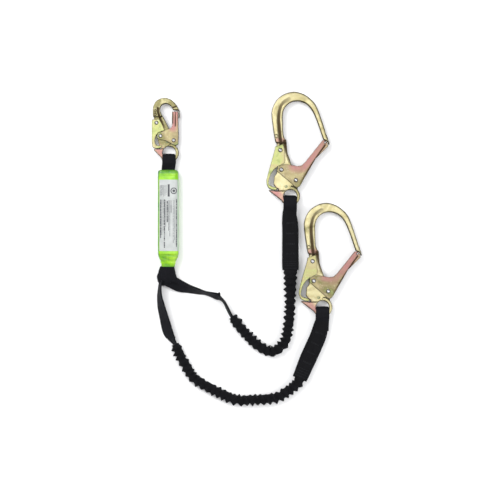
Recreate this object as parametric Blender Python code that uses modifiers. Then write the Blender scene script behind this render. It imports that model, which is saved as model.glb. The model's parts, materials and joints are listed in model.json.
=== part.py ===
"""Twin-leg shock absorbing lanyard, lying flat: one snap hook, a pack with
tear-away webbing, and two elastic legs that each end in a large rebar hook.

Metres, +Z up. The floor is z = 0. The origin is on the underside of the
absorber pack, at its centre. +Y runs from the pack towards the snap hook.
Outlines are written in millimetres and scaled by MM.
"""

import math

import bmesh
import bpy
from mathutils import Matrix, Vector

MM = 0.001
GAP = 0.4  # clearance between pieces that touch on the real object

# Webbing and soft parts
WEB_WIDTH = 28.0
STRAP_THICK = 4.5  # two layers of leg webbing sewn together
NECK_THICK = 7.0  # folded webbing at a sewn loop
PACK_WIDTH = 43.7
PACK_THICK = 27.0
PACK_TOP = 90.0
PACK_BOTTOM = -89.7
PACK_NECK_WIDTH = 27.3
PACK_NECK_Y = -111.5
COVER_WALL = 1.2
LABEL_TOP = 71.0
LABEL_BOTTOM = -79.5
LABEL_THICK = 0.4
CORE_WIDTH = 35.0
CORE_LAYERS = 6
CORE_LAYER_THICK = 2.6
CORE_PITCH = 3.2
CORE_HALF_LENGTH = 78.0
SLEEVE_RADIUS = 10.5
SLEEVE_WALL = 1.5
ELASTIC_RADIUS = 6.0
WEAR_WIDTH = 35.0
WEAR_THICK = 15.0
WEAR_WALL = 1.4
SWING_CLEAR = 4.5  # from a hook's swing axis to the lower end of its webbing loop

RING_POINTS = 16  # corners of each cross-section of a soft part
COVER_POWER = 5.0  # squareness of the pack's cross-section

# Heights of the middle planes above the floor. The pack's flat underside is at z = 0.
REBAR_MID = 11.0
SNAP_MID = 9.5
PACK_MID = PACK_THICK / 2 * math.cos(math.pi / RING_POINTS) ** (2 / COVER_POWER)

# Leg routes, in the plane of the floor. Each strap leaves the sewn junction
# on edge and runs into an elastic sleeve.
STRAP_A = [(14, -148.5), (31, -155.5), (46, -159.5), (67, -165.4), (84, -170.7),
           (100.9, -176), (111.5, -182.3), (120, -192.9), (127.4, -206.7), (130.5, -213.5)]
STRAP_A_ROLL = [38, 55, 66, 72, 80, 86, 90, 90, 90, 90]
STRAP_B = [(-17.8, -158), (-18.2, -176), (-16.3, -187.6), (-14, -202.5), (-8.9, -220.3),
           (-4.2, -239.1), (1.3, -255.5), (7.5, -267.5)]
STRAP_B_ROLL = [76, 72, 66, 62, 56, 50, 46, 42]
SLEEVE_A = [(137.4, -221.5), (155, -244.4), (172.6, -263.7), (190, -279.6), (207.5, -290),
            (219.8, -292.8), (235.7, -284.7), (248, -269), (253.3, -246.1), (256.9, -217.9),
            (258.6, -183), (258.6, -147.8), (259, -119)]
SLEEVE_B = [(14.2, -277.1), (23.5, -298.7), (35.8, -320.3), (50.7, -344.7), (69.5, -359.6),
            (91.2, -371.6), (112.8, -382.4), (134.4, -392), (156, -396), (183.2, -394.7),
            (210.3, -393.3), (234.5, -388), (256.1, -374.4), (272.4, -360.8), (280, -348)]
WEAR_A = [(258.4, -5), (258.6, -40), (258.6, -80), (258.7, -115.5)]
WEAR_B = [(322.4, -243.5), (318.2, -259.7), (306.6, -285.1), (294.5, -313), (283.5, -340)]

# The rebar hook, drawn about its gate pivot
REBAR_A_PIVOT = (270.1, 70.6)
REBAR_B_PIVOT = (338.6, -164.7)
REBAR = {
    "mid": REBAR_MID,
    "bar_thick": 13.0,
    "bar_round": 3.2,
    "web_thick": 6.0,
    "eye_thick": 10.0,
    "eye_round": 1.6,
    "outer": [(-43.0, 79), (-45.8, 93), (-49.6, 120), (-51.6, 142), (-46.5, 160), (-36, 174.5),
              (-20, 184), (-1.7, 187.3), (17, 182), (31, 172), (42, 160), (51, 138),
              (60, 111), (69.5, 81)],
    "nose": [(58.3, 85.4)],
    "lip": [(62, 96), (61, 85), (66, 83), (69.6, 76), (70.6, 73.5), (71.8, 77), (69.5, 84), (66, 94)],
    "lip_thick": 9.0,
    "inner": [(52, 104), (44, 127), (35.5, 146), (26, 158.5), (14.5, 165.5), (2, 167.4),
              (-11, 164.5), (-21.5, 156), (-27.2, 143), (-27.4, 120), (-26.2, 95), (-20.5, 84),
              (-20, 79)],
    "web": [(-20, 86), (-41, 86), (-40.5, 72), (-40, 50), (-39, 28), (-41, 13.8), (-46, 7.2),
            (-47.5, -8.9), (-43, -16.5), (-36.5, -19.5), (-36, -30), (-12, -38), (2, -30),
            (4.5, -15), (7.5, -8.2), (11, 0), (8.3, 7.5), (1, 12), (-5, 22), (-11, 38), (-18, 60)],
    "eye_centre": (-11.9, -34.0),
    "eye_inner": 14.0,
    "eye_outer": 21.0,
    "eye_left": [(-12, -17), (-15, -20.6), (-24, -23.2), (-40, -23), (-57.5, -20.6), (-57, -23),
                 (-29.9, -43.5)],
    "eye_arc": (-155, 88),
    "lever_pivot": (-33.0, 63.5),
    "lever_gap": 6.8,
    "lever_sheet": 1.8,
    "lever_back": [(-43.9, 71), (-43.9, 66.8), (-54, 31.2), (-60.5, 8), (-62.4, 0), (-61.8, -8),
                   (-58.7, -15.7)],
    "lever_front": [(-55, -18.6), (-50, -20.5), (-40.5, -21), (-40.5, -16.2), (-50, -13.5),
                    (-55.6, -11), (-58, -6.6), (-56.4, 2.3), (-52.4, 13.8), (-46.5, 22),
                    (-38.6, 28.4), (-23, 36), (-23, 60), (-26.5, 76.7)],
    "lever_beyond": [(-60, -40), (0, -40), (0, 100), (-43.0, 100)],
    "lever_range": 7.5,
    "gate_gap": 11.0,
    "gate_sheet": 1.8,
    "gate_back": [(8.9, -12.3), (42.2, 45.8), (56, 59.5)],
    "gate_front": [(68.7, 72), (66.8, 79), (61.5, 84.3), (56.4, 84.2), (38, 61), (20, 38.5),
                   (12.3, 31.2), (3, 29.6), (-8, 31.6), (-19.3, 33.8), (-28, 32.8), (-34.3, 30),
                   (-38.6, 24.4), (-41, 19.6), (-21, 2.5), (-2, -14), (0.4, -15.5), (5, -15)],
    "gate_beyond": [(62, 40), (90, 60), (90, 120), (-60, 120), (-60, -40), (8, -40), (6, -12)],
    "gate_range": 45.0,
    "stud": (-30.6, 22.0),
    "rivet_head": 4.6,
    "rivet_shaft": 2.8,
    "head_height": 2.0,
    "tip_pin": (61.7, 79.4),
    "lever_spring_at": (-21.0, -13.2),
    "loop_width": 24.0,
    "loop_inner": 6.3,
    "loop_wall": 3.6,
    "loop_top": 2.2,
}

# The snap hook, drawn about its gate pivot
SNAP_PIVOT = (11.4, 155.0)
SNAP = {
    "mid": SNAP_MID,
    "bar_thick": 11.0,
    "bar_round": 3.0,
    "web_thick": 5.0,
    "eye_thick": 9.0,
    "eye_round": 1.4,
    "outer": [(-44, 50), (-44.1, 60), (-43.8, 70), (-39.5, 80.5), (-30.5, 87.8), (-18.9, 90.1),
              (-7.5, 87.2), (2, 79.5), (8.5, 70), (12.2, 62.5)],
    "nose": [(-1.6, 64.8)],
    "lip": [(4, 72), (4, 64.2), (10.2, 63.4), (10.4, 47), (12.6, 47.8), (12.4, 62), (9, 68)],
    "lip_thick": 7.6,
    "inner": [(-6, 72.5), (-12, 76.7), (-18.4, 78), (-24.5, 75.6), (-28.6, 70), (-29.2, 63),
              (-26, 55.5), (-24.5, 52), (-27, 50)],
    "web": [(-25, 54), (-31, 62), (-42, 60), (-42, 40), (-39.6, 20), (-34, 8), (-33.5, -2),
            (-31, -12), (-26, -17.5), (-20, -30), (-9, -30), (2, -26), (4, -14), (5.0, -6.6),
            (7.2, 0), (5.4, 5.4), (-2, 10), (-9.8, 24.4), (-18, 41)],
    "eye_centre": (-10.0, -26.5),
    "eye_inner": 14.0,
    "eye_outer": 20.6,
    "eye_left": [(-10, -9), (-13, -16), (-24, -18), (-36, -18.6), (-42.4, -18.8), (-42, -21),
                 (-25, -38.4)],
    "eye_arc": (-143, 72),
    "lever_pivot": (-36.7, 37.3),
    "lever_gap": 5.8,
    "lever_sheet": 1.5,
    "lever_back": [(-45.8, 44.4), (-46.3, 38), (-46.3, 15), (-46.3, -5), (-45, -14)],
    "lever_front": [(-41, -16.8), (-35.4, -17.2), (-28.5, -16), (-24.5, -12.5), (-26, -10.2),
                    (-31, -11.8), (-36.5, -10.2), (-39.3, -6), (-40.4, 0.4), (-37.8, 10),
                    (-33, 16), (-19.1, 21.6), (-25, 35), (-30.6, 44.7)],
    "lever_beyond": [(-43, -40), (0, -40), (0, 70), (-44.3, 70)],
    "lever_range": 8.0,
    "gate_gap": 9.4,
    "gate_sheet": 1.5,
    "gate_back": [(9.4, -7.8), (10.2, 12), (9.3, 36), (9.0, 61.2)],
    "gate_front": [(-3.4, 60.8), (-3.8, 45), (-3.6, 30), (-6, 26), (-19.1, 21), (-31.8, 15.9),
                   (-35.4, 11.5), (-35.6, 7), (-34.5, 4), (-30.7, 1.8), (-17.8, -0.8), (-3, -9.1),
                   (3.8, -11.2)],
    "gate_beyond": [(7.4, 80), (-60, 80), (-60, -40), (7.8, -40)],
    "gate_range": 18.0,
    "stud": (-28.2, 9.3),
    "rivet_head": 4.2,
    "rivet_shaft": 2.5,
    "head_height": 1.8,
    "tip_pin": None,
    "lever_spring_at": (-14.5, -2.4),
    "loop_width": 24.0,
    "loop_inner": 5.6,
    "loop_wall": 3.4,
    "loop_top": -1.5,
}

COLOURS = {
    "plated_steel": ((0.72, 0.60, 0.28), 1.0, 0.35),
    "plated_sheet": ((0.58, 0.50, 0.27), 1.0, 0.40),
    "rivet_steel": ((0.45, 0.45, 0.45), 1.0, 0.35),
    "spring_steel": ((0.35, 0.35, 0.34), 1.0, 0.30),
    "black_webbing": ((0.015, 0.015, 0.018), 0.0, 0.80),
    "black_sleeve": ((0.012, 0.012, 0.014), 0.0, 0.90),
    "tear_webbing": ((0.65, 0.63, 0.55), 0.0, 0.75),
    "elastic_core": ((0.70, 0.68, 0.62), 0.0, 0.60),
    "green_cover": ((0.36, 0.80, 0.08), 0.0, 0.25),
    "label_film": ((0.85, 0.87, 0.84), 0.0, 0.45),
}


def clear_scene():
    for obj in list(bpy.data.objects):
        bpy.data.objects.remove(obj, do_unlink=True)


def collection(name):
    made = bpy.data.collections.new(name)
    bpy.context.scene.collection.children.link(made)
    return made


def material(slot):
    made = bpy.data.materials.get(slot)
    if made is None:
        colour, metallic, roughness = COLOURS[slot]
        made = bpy.data.materials.new(slot)
        made.use_nodes = True
        shader = made.node_tree.nodes["Principled BSDF"]
        shader.inputs["Base Color"].default_value = (*colour, 1)
        shader.inputs["Metallic"].default_value = metallic
        shader.inputs["Roughness"].default_value = roughness
    return made


def finish(obj, slot):
    """Give a solid its material and shade its round faces smooth."""
    obj.data.materials.clear()
    obj.data.materials.append(material(slot))
    obj.data.shade_smooth()
    obj.data.set_sharp_from_angle(angle=math.radians(35))
    return obj


def as_mesh(obj, weld=0.00001):
    """Turn a curve, or a mesh with modifiers, into a plain welded mesh object."""
    bpy.context.view_layer.update()
    name = obj.name
    home = obj.users_collection[0]
    graph = bpy.context.evaluated_depsgraph_get()
    mesh = bpy.data.meshes.new_from_object(obj.evaluated_get(graph))
    shape = bmesh.new()
    shape.from_mesh(mesh)
    bmesh.ops.remove_doubles(shape, verts=shape.verts, dist=weld)
    bmesh.ops.recalc_face_normals(shape, faces=shape.faces)
    shape.to_mesh(mesh)
    shape.free()
    matrix = obj.matrix_world.copy()
    bpy.data.objects.remove(obj, do_unlink=True)
    made = bpy.data.objects.new(name, mesh)
    made.matrix_world = matrix
    home.objects.link(made)
    return made


def circle(centre, radius, count=20):
    return [(centre[0] + radius * math.cos(math.tau * i / count),
             centre[1] + radius * math.sin(math.tau * i / count)) for i in range(count)]


def arc(centre, radius, start, end, count):
    """Points on an arc between two angles in degrees."""
    angles = [math.radians(start + (end - start) * i / (count - 1)) for i in range(count)]
    return [(centre[0] + radius * math.cos(a), centre[1] + radius * math.sin(a)) for a in angles]


def smooth(points, per_span=3):
    """A Catmull-Rom curve through the points, of any dimension."""
    points = [Vector(p) for p in points]
    padded = [2 * points[0] - points[1], *points, 2 * points[-1] - points[-2]]
    made = []
    for i in range(1, len(padded) - 2):
        before, a, b, after = padded[i - 1:i + 3]
        for step in range(per_span):
            t = step / per_span
            made.append(0.5 * (2 * a + (b - before) * t
                               + (2 * before - 5 * a + 4 * b - after) * t * t
                               + (3 * a - before - 3 * b + after) * t ** 3))
    made.append(points[-1])
    return [tuple(p) for p in made]


def offset_inward(points, distance):
    """Move an open polyline to its left, which is inside a counter-clockwise outline."""
    points = [Vector(p) for p in points]
    made = []
    for i, p in enumerate(points):
        ahead = (points[min(i + 1, len(points) - 1)] - p)
        behind = (p - points[max(i - 1, 0)])
        directions = [d.normalized() for d in (behind, ahead) if d.length > 0]
        along = sum(directions, Vector((0, 0))).normalized()
        left = Vector((-along.y, along.x))
        stretch = 1 / max(0.5, along.dot(directions[0]))
        made.append(tuple(p + left * distance * stretch))
    return made


def plate(name, home, outline, low, high, holes=(), edge_round=0.0, axes=None):
    """A flat piece between two heights, with holes and rounded edges if asked for."""
    curve = bpy.data.curves.new(name, "CURVE")
    curve.dimensions = "2D"
    curve.fill_mode = "BOTH"
    curve.extrude = (high - low) / 2 * MM
    for loop in (outline, *holes):
        spline = curve.splines.new("POLY")
        spline.points.add(len(loop) - 1)
        for point, (x, y) in zip(spline.points, loop):
            point.co = (x * MM, y * MM, 0, 1)
        spline.use_cyclic_u = True
    obj = bpy.data.objects.new(name, curve)
    home.objects.link(obj)
    shift = Matrix.Translation((0, 0, (low + high) / 2 * MM))
    obj = as_mesh(obj)
    obj.data.transform(shift)
    if edge_round:
        bevel = obj.modifiers.new("rounded_edges", "BEVEL")
        bevel.width = edge_round * MM
        bevel.segments = 2
        bevel.limit_method = "ANGLE"
        bevel.angle_limit = math.radians(60)
        obj = as_mesh(obj)
    if axes is not None:
        obj.data.transform(axes)
    return obj


def combine(base, tool, operation, cutters, solver="EXACT"):
    """Join a shape to a base, or cut it away, and keep the tool with the cutters."""
    for home in list(tool.users_collection):
        home.objects.unlink(tool)
    cutters.objects.link(tool)
    tool.hide_render = True
    tool.display_type = "WIRE"
    modifier = base.modifiers.new(tool.name, "BOOLEAN")
    modifier.operation = operation
    modifier.object = tool
    modifier.solver = solver


def turned(name, home, profile, steps=12):
    """Turn a profile of (radius, height) points about the Z axis."""
    mesh = bpy.data.meshes.new(name)
    verts = [(r * MM, 0, z * MM) for r, z in profile]
    mesh.from_pydata(verts, [(i, i + 1) for i in range(len(verts) - 1)], [])
    obj = bpy.data.objects.new(name, mesh)
    home.objects.link(obj)
    screw = obj.modifiers.new("turned", "SCREW")
    screw.steps = screw.render_steps = steps
    screw.use_merge_vertices = True
    screw.merge_threshold = 0.00001
    screw.use_normal_calculate = True
    return as_mesh(obj)


def rivet(name, home, at, shaft, head, low, high, height):
    """A rivet with a domed head at each end of its shaft."""
    dome = [(0, high + height), (head * 0.62, high + height * 0.86), (head, high + height * 0.35),
            (head, high), (shaft, high)]
    foot = [(shaft, low), (head, low), (head, low - height * 0.35),
            (head * 0.62, low - height * 0.86), (0, low - height)]
    obj = turned(name, home, dome + foot)
    obj.data.transform(Matrix.Translation((at[0] * MM, at[1] * MM, 0)))
    return obj


def stud(name, home, at, shaft, head, face, inner, height):
    """A stud riveted into one flange: face is the flange's outer side, inner its own end."""
    side = 1 if face > 0 else -1
    outer = abs(face)
    profile = [(0, outer + height), (head * 0.62, outer + height * 0.86),
               (head, outer + height * 0.35), (head, outer), (shaft, outer),
               (shaft, abs(inner)), (0, abs(inner))]
    obj = turned(name, home, profile)
    if side < 0:
        obj.data.transform(Matrix.Rotation(math.pi, 4, "X"))
    obj.data.transform(Matrix.Translation((at[0] * MM, at[1] * MM, 0)))
    return obj


def wire(name, home, points, radius, resolution=1, caps=True):
    """A round wire or tube along a list of 3-D points in millimetres."""
    curve = bpy.data.curves.new(name, "CURVE")
    curve.dimensions = "3D"
    curve.bevel_depth = radius * MM
    curve.bevel_resolution = resolution
    curve.use_fill_caps = caps
    spline = curve.splines.new("POLY")
    spline.points.add(len(points) - 1)
    for point, (x, y, z) in zip(spline.points, points):
        point.co = (x * MM, y * MM, z * MM, 1)
    obj = bpy.data.objects.new(name, curve)
    home.objects.link(obj)
    return obj


def spiral_spring(name, home, at, inner, height, turns=2.2, pitch=1.25, wire_radius=0.45):
    """A flat spiral of wire about an upright axis, with a straight tail outside."""
    count = round(turns * 12)
    points = []
    for i in range(count + 1):
        turn = i / 12
        radius = inner + pitch * turn
        a = math.tau * turn + math.radians(200)
        points.append((at[0] + radius * math.cos(a), at[1] + radius * math.sin(a), height))
    last, before = Vector(points[-1]), Vector(points[-2])
    points.append(tuple(last + (last - before).normalized() * inner))
    return as_mesh(wire(name, home, points, wire_radius))


def section(centre, along, half_width, half_thick, roll, power, count=RING_POINTS):
    """A superellipse ring across a path, rolled about the path."""
    along = along.normalized()
    across = Vector((0, 0, 1)).cross(along).normalized()
    up = along.cross(across)
    turn = Matrix.Rotation(math.radians(roll), 3, along)
    across, up = turn @ across, turn @ up
    ring = []
    for i in range(count):
        a = math.tau * (i + 0.5) / count
        c, s = math.cos(a), math.sin(a)
        x = half_width * math.copysign(abs(c) ** (2 / power), c)
        y = half_thick * math.copysign(abs(s) ** (2 / power), s)
        ring.append((centre + across * x + up * y) * MM)
    return ring


def swept(name, home, stations, power=4.0, wall=0.0):
    """A solid, or an open-ended shell, through stations of
    (centre, half width, half thickness, roll)."""
    centres = [Vector(s[0]) for s in stations]
    rings = []
    for shrink in ((0.0, wall) if wall else (0.0,)):
        layer = []
        for i, (_, half_width, half_thick, roll) in enumerate(stations):
            along = centres[min(i + 1, len(centres) - 1)] - centres[max(i - 1, 0)]
            layer.append(section(centres[i], along, half_width - shrink, half_thick - shrink,
                                 roll, power))
        rings.append(layer)
    shape = bmesh.new()
    layers = [[[shape.verts.new(p) for p in ring] for ring in layer] for layer in rings]

    def bridge(first, second):
        for j in range(len(first)):
            k = (j + 1) % len(first)
            shape.faces.new((first[j], first[k], second[k], second[j]))

    for layer in layers:
        for first, second in zip(layer, layer[1:]):
            bridge(first, second)
    if wall:
        for end in (0, -1):
            bridge(layers[0][end], layers[1][end])
    else:
        for end in (0, -1):
            shape.faces.new(layers[0][end])
    bmesh.ops.recalc_face_normals(shape, faces=shape.faces)
    mesh = bpy.data.meshes.new(name)
    shape.to_mesh(mesh)
    shape.free()
    obj = bpy.data.objects.new(name, mesh)
    home.objects.link(obj)
    return obj


def move_origin(obj, point):
    """Put an object's origin on its joint's axis without moving its shape."""
    point = Vector(point)
    obj.data.transform(Matrix.Translation(-point))
    obj.location = obj.location + point


def hang(obj, parent):
    """Parent an object and keep it where it is."""
    bpy.context.view_layer.update()
    matrix = obj.matrix_world.copy()
    obj.parent = parent
    obj.matrix_parent_inverse = parent.matrix_world.inverted()
    obj.matrix_world = matrix


# ---------------------------------------------------------------- hooks

def forged_frame(name, home, cutters, d):
    """The forged body: a round-edged bar bent into the hook, a thin web that
    carries the gate and the lever, and a thick eye for the webbing."""
    half_web = d["web_thick"] / 2
    half_bar = d["bar_thick"] / 2
    half_eye = d["eye_thick"] / 2
    hole = d["rivet_shaft"] + GAP
    body = plate(name, home, d["web"], -half_web, half_web,
                 holes=[circle((0, 0), hole), circle(d["lever_pivot"], hole)])
    bar = plate(name + "_bar", home,
                smooth(d["outer"], 2) + d["nose"] + smooth(d["inner"], 2),
                -half_bar, half_bar, edge_round=d["bar_round"])
    eye = plate(name + "_eye", home,
                d["eye_left"] + arc(d["eye_centre"], d["eye_outer"], *d["eye_arc"], 18),
                -half_eye, half_eye, edge_round=d["eye_round"])
    opening = plate(name + "_opening", home, circle(d["eye_centre"], d["eye_inner"], 28),
                    -half_eye - 2, half_eye + 2)
    half_lip = d["lip_thick"] / 2
    lip = plate(name + "_lip", home, d["lip"], -half_lip, half_lip)
    for joined in (bar, lip, eye):
        combine(body, joined, "UNION", cutters, "MANIFOLD")
    combine(body, opening, "DIFFERENCE", cutters, "MANIFOLD")
    return body


def channel(name, home, cutters, back, front, beyond, gap, sheet, holes):
    """Folded sheet: two flanges joined by a back that runs along part of the outline."""
    body = plate(name, home, back + front, -gap / 2 - sheet, gap / 2 + sheet, holes=holes)
    hollow = plate(name + "_hollow", home, offset_inward(back, sheet) + beyond, -gap / 2, gap / 2)
    combine(body, hollow, "DIFFERENCE", cutters)
    return body


def webbing_loop(name, home, d, bottom):
    """Webbing that passes through the eye and is sewn to itself below it.
    Drawn in the YZ plane and given its width along X."""
    outer = d["loop_inner"] + d["loop_wall"]
    top = d["eye_centre"][1] + d["loop_top"]
    centre = (top - outer, 0)
    outline = [(bottom, -outer)] + arc(centre, outer, -90, 90, 15) + [(bottom, outer)]
    inner_bottom = d["eye_centre"][1] - d["eye_outer"] - GAP
    inside = [(inner_bottom, -d["loop_inner"])] + arc(centre, d["loop_inner"], -90, 90, 13)
    inside += [(inner_bottom, d["loop_inner"])]
    cyclic = Matrix(((0, 0, 1, d["eye_centre"][0] * MM), (1, 0, 0, 0), (0, 1, 0, 0), (0, 0, 0, 1)))
    half = d["loop_width"] / 2
    return plate(name, home, outline, -half, half, holes=[inside], axes=cyclic)


def build_hook(prefix, home, cutters, d, pivot):
    """All pieces of one hook, and the empties on its three joint axes."""
    gate_face = d["gate_gap"] / 2 + d["gate_sheet"]
    lever_face = d["lever_gap"] / 2 + d["lever_sheet"]
    hole = d["rivet_shaft"] + GAP
    half_web = d["web_thick"] / 2
    loop_bottom = d["eye_centre"][1] - d["eye_outer"] - 3.1
    swing = (d["eye_centre"][0], loop_bottom - SWING_CLEAR)
    gate_holes = [circle((0, 0), hole, 16), circle(d["stud"], hole, 16)]
    if d["tip_pin"]:
        gate_holes.append(circle(d["tip_pin"], 1.9, 12))

    frame = finish(forged_frame(prefix + "_frame", home, cutters, d), "plated_steel")
    loop = finish(webbing_loop(prefix + "_webbing_loop", home, d, loop_bottom), "black_webbing")
    lever = finish(channel(prefix + "_lock_lever", home, cutters, d["lever_back"],
                           d["lever_front"], d["lever_beyond"], d["lever_gap"],
                           d["lever_sheet"], [circle(d["lever_pivot"], hole, 16)]), "plated_sheet")
    gate = finish(channel(prefix + "_gate", home, cutters, d["gate_back"], d["gate_front"],
                          d["gate_beyond"], d["gate_gap"], d["gate_sheet"], gate_holes),
                  "plated_sheet")
    head, shaft, height = d["rivet_head"], d["rivet_shaft"], d["head_height"]
    lever_rivet = rivet(prefix + "_lever_rivet", home, d["lever_pivot"], shaft, head,
                        -lever_face - GAP, lever_face + GAP, height - GAP)
    gate_rivet = rivet(prefix + "_gate_rivet", home, (0, 0), shaft, head,
                       -gate_face - GAP, gate_face + GAP, height - GAP)
    stud_end = half_web + 0.6
    studs = [stud(prefix + "_gate_stud_front", home, d["stud"], shaft, head,
                  gate_face + GAP, stud_end, height - GAP),
             stud(prefix + "_gate_stud_back", home, d["stud"], shaft, head,
                  -gate_face - GAP, -stud_end, height - GAP)]
    for piece in (lever_rivet, gate_rivet, *studs):
        finish(piece, "rivet_steel")
    level = (half_web + d["gate_gap"] / 2) / 2
    springs = [spiral_spring(prefix + "_gate_spring", home, (0, 0), shaft + 1.2, level),
               spiral_spring(prefix + "_lever_spring", home, d["lever_spring_at"], 1.2, level,
                             turns=1.5)]
    for piece in springs:
        finish(piece, "spring_steel")
    riders = list(studs)
    if d["tip_pin"]:
        pin = rivet(prefix + "_gate_tip_pin", home, d["tip_pin"], 1.5, 2.2,
                    -gate_face - GAP, gate_face + GAP, 0.8)
        riders.append(finish(pin, "rivet_steel"))

    base = Matrix.Translation((pivot[0] * MM, pivot[1] * MM, d["mid"] * MM))
    fixed = [frame, loop, lever_rivet, gate_rivet, *springs]
    for piece in (*fixed, lever, gate, *riders):
        piece.matrix_world = base @ piece.matrix_world
    for tool in cutters.objects:
        if tool.name.startswith(prefix):
            tool.matrix_world = base @ tool.matrix_world
    move_origin(lever, (d["lever_pivot"][0] * MM, d["lever_pivot"][1] * MM, 0))
    axis = bpy.data.objects.new(prefix + "_swing_axis", None)
    axis.location = base @ Vector((swing[0] * MM, swing[1] * MM, 0))
    axis.empty_display_size = 0.02
    home.objects.link(axis)
    for piece in (*fixed, lever, gate):
        hang(piece, axis)
    for piece in riders:
        hang(piece, gate)
    return axis


# ---------------------------------------------------------------- soft parts

def absorber_pack(home):
    """The tear-away webbing, folded back and forth, in its heat-shrunk cover."""
    mid = PACK_MID
    low = -(CORE_LAYERS - 1) * CORE_PITCH / 2
    path = []
    for i in range(CORE_LAYERS):
        side = 1 if i % 2 else -1
        path.append((side * CORE_HALF_LENGTH, low + i * CORE_PITCH))
        path.append((-side * CORE_HALF_LENGTH, low + i * CORE_PITCH))
    half = CORE_LAYER_THICK / 2
    outline = offset_inward(path, half) + offset_inward(path, -half)[::-1]
    cyclic = Matrix(((0, 0, 1, 0), (1, 0, 0, 0), (0, 1, 0, mid * MM), (0, 0, 0, 1)))
    core = plate("absorber_core", home, outline, -CORE_WIDTH / 2, CORE_WIDTH / 2, axes=cyclic)
    finish(core, "tear_webbing")

    half_w, half_t = PACK_WIDTH / 2, PACK_THICK / 2
    stations = [((-1.5, PACK_TOP, mid), half_w - 5.5, half_t - 4, 0),
                ((-1.2, PACK_TOP - 5, mid), half_w - 1.0, half_t - 1.0, 0),
                ((0, PACK_TOP - 14, mid), half_w, half_t, 0),
                ((0, 0, mid), half_w, half_t, 0),
                ((0, PACK_BOTTOM + 8, mid), half_w, half_t, 0),
                ((0, PACK_BOTTOM, mid), half_w - 0.8, half_t - 1.0, 0),
                ((-1, PACK_NECK_Y + 10, mid - 1), half_w - 5.5, half_t - 2.0, 0),
                ((-1.4, PACK_NECK_Y, mid - 2), PACK_NECK_WIDTH / 2, half_t - 3.5, 0)]
    cover = swept("absorber_cover", home, stations, power=COVER_POWER, wall=COVER_WALL)
    finish(cover, "green_cover")

    reach = 7  # ring corners from the middle of the face to the last one on the right side
    inner = section(Vector((0, 0, mid)), Vector((0, -1, 0)), half_w + 0.35,
                    half_t + 0.35, 0, COVER_POWER)
    outer = section(Vector((0, 0, mid)), Vector((0, -1, 0)), half_w + 0.35 + LABEL_THICK,
                    half_t + 0.35 + LABEL_THICK, 0, COVER_POWER)
    keep = range(0, reach + 1)
    strip = [(inner[i].x / MM, inner[i].z / MM) for i in keep]
    strip += [(outer[i].x / MM, outer[i].z / MM) for i in reversed(keep)]
    upright = Matrix(((1, 0, 0, 0), (0, 0, -1, (LABEL_TOP + LABEL_BOTTOM) / 2 * MM),
                      (0, 1, 0, 0), (0, 0, 0, 1)))
    half_label = (LABEL_TOP - LABEL_BOTTOM) / 2
    label = plate("absorber_label", home, strip, -half_label, half_label, axes=upright)
    finish(label, "label_film")

    neck = swept("absorber_top_strap", home,
                 [((1.4, 99.9, SNAP_MID), 12, NECK_THICK / 2, 0),
                  ((0.2, 95, SNAP_MID), 12.5, NECK_THICK / 2, 0),
                  ((-1.2, 90, SNAP_MID + 0.4), 12.8, NECK_THICK / 2, 0),
                  ((-1.0, 82, mid - 1), 13, NECK_THICK / 2, 0)])
    finish(neck, "black_webbing")


def leg_junction(home):
    """The bundle where both legs are sewn to the end of the tear webbing."""
    stations = [((-1.4, PACK_NECK_Y - 2.6, 11.5), 13.2, 9.0, 0),
                ((-2.5, -120, 11.0), 16.5, 9.8, 0),
                ((-3.8, -134, 10.5), 21, 9.6, 0),
                ((-5.5, -144, 10.0), 17.5, 9.0, 0),
                ((-8.5, -153.5, 9.8), 12.5, 8.0, 0)]
    finish(swept("leg_junction", home, stations, power=3.5), "black_webbing")


def leg_strap(name, home, route, rolls):
    """Webbing between the junction and the elastic sleeve, lying on its edge."""
    stations = []
    half_w, half_t = WEB_WIDTH / 2, STRAP_THICK / 2
    for (x, y), roll in zip(route, rolls):
        tilt = math.radians(roll)
        height = half_w * math.sin(tilt) + half_t * math.cos(tilt) + 0.6
        stations.append(((x, y, height), half_w, half_t, roll))
    finish(swept(name, home, stations, power=6.0), "black_webbing")


def elastic_leg(prefix, home, route):
    """A gathered tube of webbing around a stretchable core."""
    points = smooth([(x, y, SLEEVE_RADIUS + 0.5) for x, y in route], 2)
    sleeve = as_mesh(wire(prefix + "_elastic_sleeve", home, points, SLEEVE_RADIUS,
                          resolution=2, caps=False), weld=0.0001)
    shell = sleeve.modifiers.new("wall", "SOLIDIFY")
    shell.thickness = SLEEVE_WALL * MM
    shell.offset = -1
    finish(sleeve, "black_sleeve")
    core = as_mesh(wire(prefix + "_elastic_core", home, points, ELASTIC_RADIUS, resolution=2))
    finish(core, "elastic_core")


def leg_end(prefix, home, route, swing_x, swing_y, tail):
    """The sewn end of a leg inside its wear sleeve, up to the hook's swing axis."""
    shell = [((x, y, REBAR_MID), WEAR_WIDTH / 2, WEAR_THICK / 2, 0) for x, y in route]
    finish(swept(prefix + "_wear_sleeve", home, shell, power=3.5, wall=WEAR_WALL), "black_sleeve")
    inner = [(swing_x, swing_y), *route[:-1], tail]
    strap = [((x, y, REBAR_MID), WEB_WIDTH / 2 - 1, NECK_THICK / 2, 0) for x, y in inner]
    strap[0] = (strap[0][0], 12, NECK_THICK / 2, 0)
    finish(swept(prefix + "_end_strap", home, strap, power=6.0), "black_webbing")


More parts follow.
